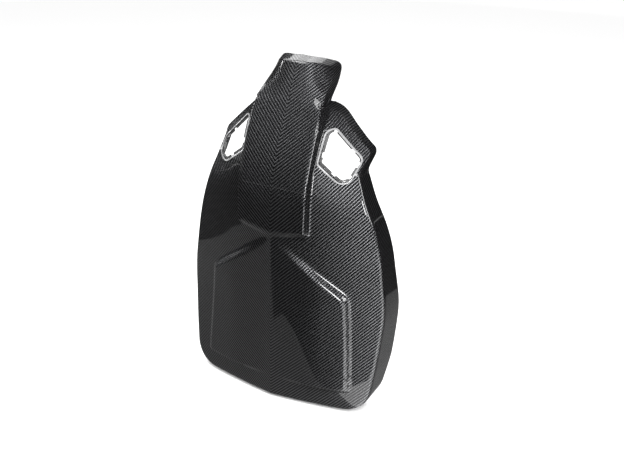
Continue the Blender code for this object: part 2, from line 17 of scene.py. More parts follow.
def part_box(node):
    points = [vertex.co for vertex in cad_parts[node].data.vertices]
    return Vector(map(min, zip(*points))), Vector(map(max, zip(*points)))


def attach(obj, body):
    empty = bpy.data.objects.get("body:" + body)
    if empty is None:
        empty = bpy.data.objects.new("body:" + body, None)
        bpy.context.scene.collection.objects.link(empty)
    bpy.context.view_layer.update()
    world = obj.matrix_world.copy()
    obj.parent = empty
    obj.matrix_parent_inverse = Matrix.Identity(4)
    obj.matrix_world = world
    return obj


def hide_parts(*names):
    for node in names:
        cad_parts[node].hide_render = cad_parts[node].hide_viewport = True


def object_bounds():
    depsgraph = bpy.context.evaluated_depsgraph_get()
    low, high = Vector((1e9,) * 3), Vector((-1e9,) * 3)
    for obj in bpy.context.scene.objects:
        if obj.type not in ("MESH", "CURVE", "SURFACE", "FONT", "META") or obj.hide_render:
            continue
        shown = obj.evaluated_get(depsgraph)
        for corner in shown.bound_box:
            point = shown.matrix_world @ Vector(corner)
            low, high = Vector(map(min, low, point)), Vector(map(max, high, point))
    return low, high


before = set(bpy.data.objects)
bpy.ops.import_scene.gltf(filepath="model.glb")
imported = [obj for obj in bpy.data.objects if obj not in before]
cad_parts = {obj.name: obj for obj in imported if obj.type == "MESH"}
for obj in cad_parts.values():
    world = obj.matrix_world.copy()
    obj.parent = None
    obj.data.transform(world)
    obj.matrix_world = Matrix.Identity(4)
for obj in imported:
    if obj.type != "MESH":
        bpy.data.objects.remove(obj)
cad_low, cad_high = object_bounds()

# ==== the laminate's driving dimensions, metres ================================================
SHELL_T = 0.0026  # laminate thickness
EDGE_R = 0.011  # radius between the face and the rim wall
WALL_DRAFT = math.radians(5.0)
HEAD_DRAFT = math.radians(14.0)
HEAD_DRAFT_Z = (0.70, 0.73)  # where the one draft passes into the other
LEAST_TURN = 0.2  # the edge turns by at least this much, radians

# Half outline from the top centre to the bottom centre: x, z, corner radius.
OUTLINE = [
    (0.000, 0.7740, 0.000),
    (0.0420, 0.7715, 0.080),
    (0.0645, 0.7610, 0.014),
    (0.0765, 0.7000, 0.016),
    (0.1745, 0.6060, 0.016),
    (0.1655, 0.5720, 0.030),
    (0.2220, 0.4280, 0.500),
    (0.2470, 0.2620, 0.400),
    (0.2390, 0.1180, 0.400),
    (0.2270, 0.0030, 0.065),
    (0.000, 0.0000, 0.000),
]
TOP_Z = OUTLINE[0][1]

# Centre profile: upright below, leaning forward above.
BACK_Y = -0.029
LEAN = 0.54
LEAN_Z = 0.555
LEAN_BLEND = 0.050

# Sweep of the wings by height: z, half width it is measured at, drop there, blend at the hinge.
SWEEP = [
    (0.00, 0.200, 0.030, 0.200),
    (0.05, 0.222, 0.040, 0.200),
    (0.14, 0.238, 0.056, 0.200),
    (0.28, 0.241, 0.069, 0.180),
    (0.39, 0.228, 0.070, 0.150),
    (0.45, 0.213, 0.066, 0.120),
    (0.51, 0.190, 0.058, 0.080),
    (0.565, 0.168, 0.056, 0.040),
    (0.607, 0.168, 0.082, 0.020),
    (0.645, 0.133, 0.062, 0.014),
    (0.685, 0.091, 0.040, 0.012),
    (0.720, 0.074, 0.004, 0.012),
    (0.775, 0.064, 0.004, 0.012),
]
HEAD_DROP = 0.046  # the headrest's top corners roll back by this much
HEAD_X = 0.062
HEAD_Z = (0.690, 0.770)
HINGE_X = 0.070  # where the wings leave the spine

# Depth of the rim wall by height.
WALL = [
    (0.00, 0.055),
    (0.13, 0.078),
    (0.30, 0.062),
    (0.45, 0.048),
    (0.57, 0.036),
    (0.61, 0.022),
    (0.68, 0.030),
    (0.73, 0.026),
    (0.775, 0.024),
]

# Raised spine.
SPINE_X = 0.0765
SPINE_TOP_X = 0.064
SPINE_TAPER_Z = 0.66
SPINE_WIDE_Z = 0.775  # the taper ends here
SPINE_RISE = 0.002
SPINE_SIDE = 0.008
SPINE_END_Z = 0.436
SPINE_END_DROP = 0.016
SPINE_END_RUN = 0.012

# Raised lower panel: its half outline, rise and side run.
PANEL = [(-0.02, 0.446), (0.172, 0.298), (0.190, 0.054), (-0.02, 0.054)]
PANEL_RISE = 0.012
PANEL_SIDE = 0.009
PANEL_FADE_X = 0.120
PANEL_BLEND = 0.012  # how softly its edges meet

# Harness openings: outline of the lip, x, z, corner radius.
OPENING = [
    (0.0915, 0.6635, 0.009),
    (0.1620, 0.5930, 0.014),
    (0.1470, 0.5450, 0.016),
    (0.0875, 0.5910, 0.010),
]
LIP_RISE = 0.001
LIP_W = 0.003
LIP_SINK = 0.0008  # how far the lip's foot is sunk into the laminate
LIP_SQUARE = 0.7  # 1 makes the lip half round, less makes it squarer
WELL_DEPTH = 0.004
WELL_T = 0.0024
WELL_ROUND = 0.0014  # radius from the well's wall onto the ledge
LEDGE_W = 0.0055
LEDGE_FLAT = 0.0004  # the least flat that a notch leaves beside the round
LEDGE_EDGE = 0.0005  # bevel along the ledge's free edge
LEDGE_BEVEL = 0.3  # the bevel's middle ring, as a share of it
NOTCH_LEFT = 0.0012
NOTCHES = [0.07, 0.28, 0.41, 0.50, 0.66, 0.86]  # middles, as shares of the way round
NOTCH_HALF = 0.016
NOTCH_RAMP = 0.004
WALL_CLOTH = 0.5  # the cloth runs down the well's wall at this share of the depth

# Foam strips on the hollow side: x, z, width, length.
STRIPS = {"upper": (0.040, 0.525, 0.018, 0.090), "lower": (0.055, 0.170, 0.018, 0.110)}
STRIP_T = 0.007
BOND = 0.0009
STRIP_SQUARE = 0.35  # 1 makes the section an ellipse, less makes it squarer
STRIP_END = 0.05  # share of the half length that rounds off
STRIP_END_LEFT = 0.70  # share of the height left at the very end
STRIP_END_NARROW = 0.07
STRIP_SWAY = 0.00015  # unevenness of the top

# ==== mesh density =============================================================================
SIDE_STEPS = 230  # points along the half outline
SPINE_STEPS = 10
STEP_STEPS = 6
FACE_STEPS = 38
MIN_SPREAD_X = 0.120
ARC_STEPS = 9
WALL_STEPS = 14
UNFOLD_STEPS = 28
OPENING_STEPS = 260
CUT_STEPS = 120
CUT_Y = (-0.15, 0.25)
LIP_STEPS = 8
ROUND_STEPS = 6
STRIP_TURNS = 28
STRIP_STEPS = 60
CENTRE_ENDS = (0.040, 0.060)  # the section lines start this far in from the top and the bottom
BY_HEIGHT = 0.8  # their spread along the centre line: this share by height, the rest by count
EDGE_PROBE = 0.7  # where the face's slope towards the edge is read, in edge radii
PROBE_STEP = 0.002
RIM = [(0.12, 0.0004), (0.5, 0.0006), (0.88, 0.0004)]  # share of the thickness, reach beyond the wall
# Stretches of the outline with more points: middle z, reach, least x, extra share.
DENSER = [(0.59, 0.05, 0.12, 1.5), (0.77, 0.03, -1.0, 1.2), (0.03, 0.05, 0.15, 1.0)]

# ==== finish ===================================================================================
TOW = 0.00208  # width of one tow, so that the 2x2 twill repeats every four
WEAVE_UV = "weave"
# Level and upright tows are the same fibre: the level colour is a painted sheen and the upright colour a
# painted shade, on top of the anisotropic shine.
LEVEL_SHEEN_COLOUR = (0.215, 0.217, 0.222)  # floats that lie across
UPRIGHT_SHADE_COLOUR = (0.022, 0.022, 0.024)
GAP_COLOUR = (0.004, 0.004, 0.0042)
WEAVE_METAL = 1.0
SATIN_METAL = 0.3
THREAD_GAP = 531.0  # keeps the noise of upright and level tows apart

# ==== studio and camera ========================================================================
WORLD_STRENGTH = 1.15
FLOOR_HALF = 30.0
FLOOR_LIFT = 0.002  # each floor card lies this far above the one before
# Lamps: azimuth, elevation, distance, width, height, watts.
LAMPS = {
    "overhead": (-155, 52, 2.4, 3.4, 1.2, 40.0),
    "wing_key": (32, 50, 2.4, 1.2, 1.0, 58.0),
    "spine_key": (-60, 70, 2.3, 1.2, 0.9, 26.0),
    "right_strip": (43, -3, 2.4, 0.40, 0.8, 28.0),
    "left_side": (-95, 14, 2.4, 0.6, 0.5, 9.0),
    "right_side": (78, 12, 2.4, 0.5, 1.2, 24.0),
}
# Standing cards: azimuth, elevation, distance, width, height, strength.
CARDS = {
    "left_wall": (-62, 14, 3.0, 2.0, 1.2, 0.4),
    "head_flag": (32, 46, 0.35, 0.5, 0.22, 0.015),
    "back_top": (170, 48, 2.6, 2.2, 1.0, 1.2),
}
# The lamps and cards face the middle of the part, but for these.
AIMED = {"right_strip": Vector((0, 0, 0.62)), "head_flag": Vector((0.03, 0.0, 0.735))}
FLOOR_MIDDLE = (-0.08, 0.0)
FRONT_DARK = [(0.21, -0.11), (-0.075, -0.40), (-0.34, -0.77), (-0.58, -1.20), (0.55, -1.20), (0.42, -0.30)]
SURROUND = 0.035
DOME_RADIUS = 6.0
DOME_RINGS = 10
DOME_TURNS = 32
DOME_LOW = -2  # elevation of its lowest ring
DOME_SPAN = 91

CAMERA_TARGET = Vector((0.0851, -0.0610, 0.4437))
CAMERA_SIGHT = (25.411, 26.899)  # azimuth and elevation
CAMERA_DISTANCE = 1.5025
CAMERA_ROLL = math.radians(1.39)
CAMERA_LENS = 41.41
CAMERA_SENSOR = 36.0
CAMERA_CLIP = (0.05, 100.0)


# ==== shape formulas ===========================================================================
def table(rows, z, column=1):
    """A smooth curve through one column of a table, read at z."""
    rows = np.array(rows)
    zs, values = rows[:, 0], rows[:, column]
    slopes = np.diff(values) / np.diff(zs)
    product = slopes[:-1] * slopes[1:]
    total = np.where(product > 0, slopes[:-1] + slopes[1:], 1.0)
    tangents = np.concatenate([[0.0], np.where(product > 0, 2 * product / total, 0.0), [0.0]])
    z = np.clip(z, zs[0], zs[-1])
    i = np.clip(np.searchsorted(zs, z, side="right") - 1, 0, len(zs) - 2)
    span = zs[i + 1] - zs[i]
    t = (z - zs[i]) / span
    lift = t * (1 - t) * span * ((1 - t) * tangents[i] - t * tangents[i + 1])
    return values[i] + (values[i + 1] - values[i]) * smooth(t) + lift


def hinge(distance, blend):
    """Zero well below 0, the distance itself well above it, and smooth between."""
    return 0.5 * (distance + np.sqrt(distance * distance + blend * blend))


def smooth(t):
    """A step from 0 to 1 as t goes from 0 to 1."""
    t = np.clip(t, 0.0, 1.0)
    return t * t * (3 - 2 * t)


def centre_y(z):
    """The centre line's y: upright below, leaning above."""
    return BACK_Y + LEAN * hinge(z - LEAN_Z, LEAN_BLEND)


def wing_drop(x, z):
    """How far the swept wings lie from the centre line's plane, towards the hollow side."""
    width = table(SWEEP, z, 1)
    drop = table(SWEEP, z, 2)
    blend = table(SWEEP, z, 3)
    start = np.minimum(HINGE_X, 0.9 * width)
    zero = hinge(-start, blend)
    return drop * (hinge(x - start, blend) - zero) / (hinge(width - start, blend) - zero)


def panel_distance(x, z):
    """Distance to the lower panel's outline, its corners blended: negative inside."""
    worst = np.full(np.shape(x), -1.0)
    for (x0, z0), (x1, z1) in zip(PANEL, PANEL[1:]):
        length = math.hypot(x1 - x0, z1 - z0)
        side = ((x - x0) * -(z1 - z0) + (z - z0) * (x1 - x0)) / length
        worst = 0.5 * (worst + side + np.sqrt((worst - side) ** 2 + (0.5 * PANEL_BLEND) ** 2))
    return worst


def spine_share(x, z):
    """1 on the raised spine, 0 off it."""
    half = SPINE_X + (SPINE_TOP_X - SPINE_X) * smooth((z - SPINE_TAPER_Z) / (SPINE_WIDE_Z - SPINE_TAPER_Z))
    across = 1 - smooth((x - half) / SPINE_SIDE)
    end = SPINE_END_Z - SPINE_END_DROP * (1 - x / SPINE_X)
    return across * smooth((z - end) / SPINE_END_RUN)


def face_y(x, z):
    """The show face's y at places on it."""
    x = np.abs(x)
    spine = spine_share(x, z)
    drop = wing_drop(x, z) * (1 - spine) - SPINE_RISE * spine
    drop = drop + HEAD_DROP * smooth((z - HEAD_Z[0]) / (HEAD_Z[1] - HEAD_Z[0])) * (x / HEAD_X) ** 3
    inside = smooth(-panel_distance(x, z) / PANEL_SIDE)
    return centre_y(z) + drop - PANEL_RISE * inside * smooth(x / PANEL_FADE_X)


def face_normals(x, z, small=0.001):
    """The show face's unit normals, one row each."""
    across = (face_y(x + small, z) - face_y(x - small, z)) / (2 * small)
    up = (face_y(x, z + small) - face_y(x, z - small)) / (2 * small)
    normals = np.stack([across, -np.ones_like(across), up], axis=-1)
    return normals / np.linalg.norm(normals, axis=-1, keepdims=True)


def rounded(corners, closed=False, step=0.001):
    """Points along a line of corners, each turned into an arc of its own radius."""
    points = [np.array(corner[:2]) for corner in corners]
    count = len(points)
    path = []
    for i, (_, _, wanted) in enumerate(corners):
        if not closed and i in (0, count - 1):
            path.append(points[i])
            continue
        before = points[i - 1] - points[i]
        after = points[(i + 1) % count] - points[i]
        reach_before = np.linalg.norm(before)
        reach_after = np.linalg.norm(after)
        before = before / reach_before
        after = after / reach_after
        half = 0.5 * math.acos(float(np.clip(before @ after, -1, 1)))
        cut = min(wanted / math.tan(half), 0.49 * reach_before, 0.49 * reach_after)
        radius = cut * math.tan(half)
        middle = before + after
        centre = points[i] + middle / np.linalg.norm(middle) * radius / math.sin(half)
        first = points[i] + before * cut - centre
        last = points[i] + after * cut - centre
        turn = math.pi - 2 * half
        side = math.copysign(1.0, first[0] * last[1] - first[1] * last[0])
        for angle in np.linspace(0, side * turn, max(4, round(turn * radius / step))):
            cos, sin = math.cos(angle), math.sin(angle)
            path.append(centre + np.array([first[0] * cos - first[1] * sin, first[0] * sin + first[1] * cos]))
    if closed:
        path.append(path[0])
    return np.array(path)


def even(path, count, weight=None):
    """The same line with its points spread evenly, or by a weight."""
    spans = np.linalg.norm(np.diff(path, axis=0), axis=1)
    if weight is not None:
        middles = 0.5 * (path[1:] + path[:-1])
        spans = spans * weight(middles[:, 0], middles[:, 1])
    along = np.concatenate([[0.0], np.cumsum(spans)])
    wanted = np.linspace(0.0, along[-1], count + 1)
    return np.column_stack([np.interp(wanted, along, path[:, 0]), np.interp(wanted, along, path[:, 1])])


def dense(path, step=0.0004):
    """The same line with a point about every step."""
    length = np.linalg.norm(np.diff(path, axis=0), axis=1).sum()
    return even(path, int(length / step))


def inward(points, closed=False):
    """Unit normals to the right of the direction of travel."""
    if closed:
        tangents = np.roll(points, -1, axis=0) - np.roll(points, 1, axis=0)
    else:
        tangents = np.gradient(points, axis=0)
        tangents[0] = [1.0, 0.0]
        tangents[-1] = [-1.0, 0.0]
    tangents = tangents / np.linalg.norm(tangents, axis=1)[:, None]
    return np.column_stack([tangents[:, 1], -tangents[:, 0]])


def outline_weight(x, z):
    """More points at the shoulder and at the corners."""
    weight = np.ones_like(z)
    for middle, reach, least_x, extra in DENSER:
        weight += extra * np.exp(-(((z - middle) / reach) ** 2)) * (x > least_x)
    return weight


def face_shares(edge_x):
    """Shares of the way from the centre line to the edge, with some at each side of the spine's step."""
    wide = max(edge_x, MIN_SPREAD_X)
    inner, outer = SPINE_X / wide, (SPINE_X + SPINE_SIDE) / wide
    spine = np.linspace(0.0, inner, SPINE_STEPS + 1)
    step = np.linspace(inner, outer, STEP_STEPS + 1)[1:]
    wing = np.linspace(outer, 1.0, FACE_STEPS + 1)[1:]
    return np.concatenate([spine, step, wing])


# The centre line's arc length by height, for laying the cloth out flat.
CENTRE_Z = np.linspace(-0.05, 0.85, 1801)
CENTRE_SLOPE = np.gradient(centre_y(CENTRE_Z), CENTRE_Z)
CENTRE_ARC = np.concatenate([[0.0], np.cumsum(np.hypot(1.0, CENTRE_SLOPE[1:]) * np.diff(CENTRE_Z))])


def unfolded(x, z):
    """Where places on the face lie on the flat cloth: arc lengths out from and up the centre line.

    The cloth bridges the low relief of the spine and the panel, so only the sweep counts.
    """
    shares = np.linspace(0.0, 1.0, UNFOLD_STEPS + 1)
    xs = np.abs(x)[..., None] * shares
    ys = wing_drop(xs, np.broadcast_to(np.asarray(z)[..., None], xs.shape))
    across = np.hypot(np.diff(xs, axis=-1), np.diff(ys, axis=-1)).sum(axis=-1)
    return np.stack([across, np.interp(z, CENTRE_Z, CENTRE_ARC)], axis=-1)


def section(point, normal, share):
    """One line of the skin and of its cloth, from the centre line over the edge and along the rim wall."""
    x_out, z_out = point
    spread = BY_HEIGHT * (1 - z_out / TOP_Z) + (1 - BY_HEIGHT) * share
    high, low = TOP_Z - CENTRE_ENDS[0], CENTRE_ENDS[1]
    centre = np.array([0.0, high + (low - high) * spread])
    probe = point + normal * EDGE_R * EDGE_PROBE
    farther = probe - normal * PROBE_STEP
    start = math.atan(float(face_y(*farther) - face_y(*probe)) / PROBE_STEP)
    head = float(smooth((z_out - HEAD_DRAFT_Z[0]) / (HEAD_DRAFT_Z[1] - HEAD_DRAFT_Z[0])))
    draft = WALL_DRAFT + (HEAD_DRAFT - WALL_DRAFT) * head
    end = 0.5 * math.pi - draft
    start = min(start, end - LEAST_TURN)
    edge = point + normal * EDGE_R * (math.sin(end) - math.sin(start))
    places = centre + (edge - centre) * face_shares(edge[0])[:, None]
    line = list(np.column_stack([places[:, 0], face_y(*places.T), places[:, 1]]))
    cloth = list(unfolded(*places.T))
    edge_y, edge_cloth = line[-1][1], cloth[-1]
    for k in range(1, ARC_STEPS + 1):
        angle = start + (end - start) * k / ARC_STEPS
        place = edge - normal * EDGE_R * (math.sin(angle) - math.sin(start))
        line.append(np.array([place[0], edge_y + EDGE_R * (math.cos(start) - math.cos(angle)), place[1]]))
        cloth.append(edge_cloth - normal * EDGE_R * (angle - start))
    arc_y, arc_cloth = line[-1][1], cloth[-1]
    depth = float(table(WALL, z_out))
    for k in range(1, WALL_STEPS + 1):
        back = depth * k / WALL_STEPS
        place = point - normal * back * math.tan(draft)
        line.append(np.array([place[0], arc_y + back, place[1]]))
        cloth.append(arc_cloth - normal * back / math.cos(draft))
    return line, cloth


def skin():
    """The outer skin of the right half as a grid of points, and the same grid on the flat cloth."""
    points = even(dense(rounded(OUTLINE)), SIDE_STEPS, outline_weight)
    normals = inward(points)
    made = [section(points[i], normals[i], i / SIDE_STEPS) for i in range(SIDE_STEPS + 1)]
    return np.array([line for line, _ in made]), np.array([cloth for _, cloth in made])


def grid_normals(grid):
    """Unit normals of a grid of points, facing out of the show side."""
    normals = np.cross(np.gradient(grid, axis=0), np.gradient(grid, axis=1))
    normals[:, 0] = face_normals(np.zeros(len(grid)), grid[:, 0, 2])
    normals[0, :, 0] = 0.0
    normals[-1, :, 0] = 0.0
    return normals / np.linalg.norm(normals, axis=2, keepdims=True)


# ==== mesh building ============================================================================
def new_object(name, points, faces, cloth=None, slots=None, sharp=40.0):
    """A shaded object from points and faces, with the cloth's coordinates as its weave UV map."""
    mesh = bpy.data.meshes.new(name)
    mesh.from_pydata(np.asarray(points, float).tolist(), [], faces)
    if cloth is not None:
        corners = np.empty(len(mesh.loops), dtype=np.int32)
        mesh.loops.foreach_get("vertex_index", corners)
        layer = mesh.uv_layers.new(name=WEAVE_UV)
        layer.data.foreach_set("uv", np.asarray(cloth, np.float32)[corners].ravel())
    if slots is not None:
        mesh.polygons.foreach_set("material_index", slots)
    work = bmesh.new()
    work.from_mesh(mesh)
    bmesh.ops.remove_doubles(work, verts=work.verts, dist=1e-6)
    bmesh.ops.recalc_face_normals(work, faces=work.faces)
    work.to_mesh(mesh)
    work.free()
    obj = bpy.data.objects.new(name, mesh)
    bpy.context.scene.collection.objects.link(obj)
    mesh.shade_smooth()
    mesh.set_sharp_from_angle(angle=math.radians(sharp))
    return obj


def grid_faces(rows, columns, offset=0):
    """Quads over a grid of points stored row by row."""
    corner = offset + np.arange(rows - 1)[:, None] * columns + np.arange(columns - 1)
    quads = np.stack([corner, corner + columns, corner + columns + 1, corner + 1], axis=-1)
    return quads.reshape(-1, 4).tolist()


def loop_faces(sections, size, closed=True):
    """Quads between closed sections that follow each other, round a closed loop or along a bar."""
    faces = []
    for i in range(sections if closed else sections - 1):
        for j in range(size):
            a, b = i * size + j, i * size + (j + 1) % size
            c, d = (i + 1) % sections * size + (j + 1) % size, (i + 1) % sections * size + j
            faces.append((a, b, c, d))
    return faces


def shell_half(side, outer, cloth):
    """One half of the laminate: outer skin, inner skin and the rounded rim between."""
    normals = grid_normals(outer)
    inner = outer - normals * SHELL_T
    last = outer[:, -1] - outer[:, -2]
    last = last / np.linalg.norm(last, axis=1, keepdims=True)
    rim = [outer[:, -1] - normals[:, -1] * SHELL_T * inset + last * reach for inset, reach in RIM]
    rows, columns = outer.shape[:2]
    outer_count = rows * columns
    strip = np.stack([outer[:, -1], *rim, inner[:, -1]], axis=1)
    across = strip.shape[1]
    strip_cloth = np.stack([cloth[:, -1]] * across, axis=1)
    points = np.concatenate([outer.reshape(-1, 3), inner.reshape(-1, 3), strip.reshape(-1, 3)]) * [side, 1, 1]
    flat = np.concatenate([cloth.reshape(-1, 2), cloth.reshape(-1, 2), strip_cloth.reshape(-1, 2)])
    out_faces = grid_faces(rows, columns)
    in_faces = grid_faces(rows, columns, outer_count)
    rim_faces = grid_faces(rows, across, 2 * outer_count)
    slots = [0] * len(out_faces) + [1] * len(in_faces) + [0] * len(rim_faces)
    return points, flat, out_faces + in_faces + rim_faces, slots


def make_laminate(materials):
    outer, cloth = skin()
    right, flat, faces, slots = shell_half(1, outer, cloth)
    left = right * [-1, 1, 1]
    moved = [tuple(corner + len(right) for corner in face) for face in faces]
    points, both_flat = np.concatenate([right, left]), np.concatenate([flat, flat])
    laminate = new_object("carbon_laminate", points, faces + moved, both_flat, slots + slots)
    for finish in materials:
        laminate.data.materials.append(finish)
    for side in (1, -1):
        cut_opening(laminate, side)
    return laminate


def opening_line(count):
    """The lip's outline, with unit normals that point away from the opening."""
    points = even(dense(rounded(OPENING, closed=True), 0.0001), count)[:-1]
    return points, -inward(points, closed=True)


def cut_opening(laminate, side):
    """Cuts the laminate along the middle of the lip that covers the cut."""
    points, normals = opening_line(CUT_STEPS)
    line = points + normals * LIP_W * 0.5
    count = len(line)
    corners = [(side * x, y, z) for y in CUT_Y for x, z in line]
    faces = [tuple(range(count)), tuple(range(count, 2 * count))]
    faces += [(i, (i + 1) % count, (i + 1) % count + count, i + count) for i in range(count)]
    cutter = new_object("cutter", corners, faces)
    cut = laminate.modifiers.new("Boolean", "BOOLEAN")
    cut.operation = "DIFFERENCE"
    cut.solver = "EXACT"
    cut.object = cutter
    bpy.context.view_layer.update()
    graph = bpy.context.evaluated_depsgraph_get()
    done = bpy.data.meshes.new_from_object(laminate.evaluated_get(graph))
    laminate.modifiers.remove(cut)
    laminate.data = done
    bpy.data.objects.remove(cutter, do_unlink=True)


def ledge_widths():
    """The ledge's width at even shares of the way round the opening, with its notches."""
    shares = np.arange(OPENING_STEPS) / OPENING_STEPS
    width = np.full(OPENING_STEPS, LEDGE_W)
    for middle in NOTCHES:
        inside = 1 - smooth((np.abs(shares - middle) - NOTCH_HALF) / NOTCH_RAMP)
        width += (NOTCH_LEFT - LEDGE_W) * inside
    return width


# Which finish each face across the well takes: 0 the laminate, 1 the lip's pale finish with its painted
# highlight, 2 the ledge's pale finish with painted light.
WELL_SLOTS = [1] * (LIP_STEPS + 1) + [0] * ROUND_STEPS + [2] * 5 + [0] * 2


def opening_well(side, finishes):
    """The turned-in wall round an opening, with a rounded lip on the face and the notched ledge inside."""
    points, normals = opening_line(OPENING_STEPS)
    width = ledge_widths()
    rim = face_y(*points.T)
    bottom = rim + WELL_DEPTH
    rings = []

    def ring(outward, y):
        place = points + normals * np.asarray(outward).reshape(-1, 1)
        rings.append(np.column_stack([place[:, 0], y, place[:, 1]]))

    foot = points + normals * LIP_W
    ring(LIP_W, face_y(*foot.T) + LIP_SINK)
    for k in range(LIP_STEPS + 1):
        turn = math.pi * k / LIP_STEPS
        outward = LIP_W * 0.5 * (1 + math.cos(turn))
        place = points + normals * outward
        ring(outward, face_y(*place.T) - LIP_RISE * math.sin(turn) ** LIP_SQUARE)
    for k in range(ROUND_STEPS + 1):
        turn = 0.5 * math.pi * k / ROUND_STEPS
        ring(-WELL_ROUND * (1 - math.cos(turn)), bottom - WELL_ROUND * (1 - math.sin(turn)))
    inside = np.maximum(width, WELL_ROUND + LEDGE_FLAT)
    bevel = LEDGE_EDGE * LEDGE_BEVEL
    ring(-inside + LEDGE_EDGE, bottom)
    ring(-inside + bevel, bottom + bevel)
    ring(-inside, bottom + LEDGE_EDGE)
    ring(-inside, bottom + WELL_T)
    ring(WELL_T, bottom + WELL_T)
    corners = np.stack(rings, axis=1)
    flat = unfolded(corners[..., 0], corners[..., 2])
    flat = flat - normals[:, None, :] * (corners[..., 1] - rim[:, None])[..., None] * WALL_CLOTH
    size = len(rings)
    hand = "right" if side > 0 else "left"
    well = new_object(
        f"harness_well_{hand}",
        corners.reshape(-1, 3) * [side, 1, 1],
        loop_faces(OPENING_STEPS, size),
        flat.reshape(-1, 2),
        WELL_SLOTS * OPENING_STEPS,
        sharp=50.0,
    )
    for finish in finishes:
        well.data.materials.append(finish)
    return well


def squared(value):
    """A sine or cosine pushed out towards 1 or -1, which squares off a round section."""
    return math.copysign(abs(value) ** STRIP_SQUARE, value)


def strip_ring(side, spot, along):
    """One section of a foam strip on the hollow side; along runs from -1 at one end to 1 at the other."""
    x, z, width, length = spot
    end = max(0.0, (abs(along) - 1 + STRIP_END) / STRIP_END)
    shrink = STRIP_END_LEFT + (1 - STRIP_END_LEFT) * math.sqrt(max(0.0, 1 - end**2))
    pz = z + 0.5 * length * along
    ring = []
    for k in range(STRIP_TURNS):
        angle = 2 * math.pi * k / STRIP_TURNS
        across, up = squared(math.cos(angle)), squared(math.sin(angle))
        px = x + 0.5 * width * across * (1 - STRIP_END_NARROW * (1 - shrink))
        normal_y = face_normals(np.array(px), np.array(pz))[1]
        base = float(face_y(px, pz)) - SHELL_T / normal_y + BOND
        sway = STRIP_SWAY * math.sin(37 * pz / length + 5 * across)
        height = STRIP_T * (0.5 + 0.5 * up * shrink) + (sway if up > 0.5 else 0.0)
        height = min(max(height, STRIP_T * 0.5 * (1 - shrink)), STRIP_T)
        ring.append((side * px, base + height, pz))
    return ring


def foam_strip(level, hand, finish):
    """A soft strip that follows the hollow side, its edges rounded and its top a little uneven."""
    side = 1 if hand == "right" else -1
    rings = [strip_ring(side, STRIPS[level], i / STRIP_STEPS * 2 - 1) for i in range(STRIP_STEPS + 1)]
    faces = loop_faces(STRIP_STEPS + 1, STRIP_TURNS, closed=False)
    last = STRIP_STEPS * STRIP_TURNS
    faces += [tuple(range(STRIP_TURNS)), tuple(range(last, last + STRIP_TURNS))]
    strip = new_object(f"foam_{level}_{hand}", np.array(rings).reshape(-1, 3), faces, sharp=60.0)
    strip.data.materials.append(finish)
    return strip


# ==== materials ================================================================================
class Nodes:
    """Short ways to add nodes to a material."""

    def __init__(self, name):
        self.made = bpy.data.materials.new(name)
        self.made.use_nodes = True
        self.tree = self.made.node_tree
        self.shader = self.tree.nodes["Principled BSDF"]

    def node(self, kind, **settings):
        made = self.tree.nodes.new(kind)
        for key, value in settings.items():
            setattr(made, key, value)
        return made

    def put(self, socket, value):
        if isinstance(value, bpy.types.NodeSocket):
            self.tree.links.new(value, socket)
        else:
            socket.default_value = value

    def math(self, operation, a, b=0.0, clamp=False):
        made = self.node("ShaderNodeMath", operation=operation, use_clamp=clamp)
        self.put(made.inputs[0], a)
        self.put(made.inputs[1], b)
        return made.outputs[0]

    def mix(self, share, a, b):
        """a where share is 0, b where it is 1."""
        made = self.node("ShaderNodeMix", data_type="FLOAT")
        self.put(made.inputs[0], share)
        self.put(made.inputs[2], a)
        self.put(made.inputs[3], b)
        return made.outputs[0]

    def colours(self, share, a, b):
        made = self.node("ShaderNodeMix", data_type="RGBA")
        self.put(made.inputs[0], share)
        self.put(made.inputs[6], (*a, 1.0) if isinstance(a, tuple) else a)
        self.put(made.inputs[7], (*b, 1.0) if isinstance(b, tuple) else b)
        return made.outputs[2]

    def vector(self, x, y, z=0.0):
        made = self.node("ShaderNodeCombineXYZ")
        for socket, value in zip(made.inputs, (x, y, z)):
            self.put(socket, value)
        return made.outputs[0]

    def noise(self, place, scale, detail=3.0, roughness=0.5):
        made = self.node("ShaderNodeTexNoise")
        self.put(made.inputs["Vector"], place)
        made.inputs["Scale"].default_value = scale
        made.inputs["Detail"].default_value = detail
        made.inputs["Roughness"].default_value = roughness
        return made.outputs[0]

    def place(self):
        return self.node("ShaderNodeTexCoord").outputs["Object"]

    def bump(self, height, distance, strength=1.0):
        made = self.node("ShaderNodeBump")
        self.put(made.inputs["Height"], height)
        made.inputs["Distance"].default_value = distance
        made.inputs["Strength"].default_value = strength
        return made.outputs[0]

    def set(self, **values):
        for key, value in values.items():
            self.put(self.shader.inputs[key.replace("_", " ")], value)
        return self.made


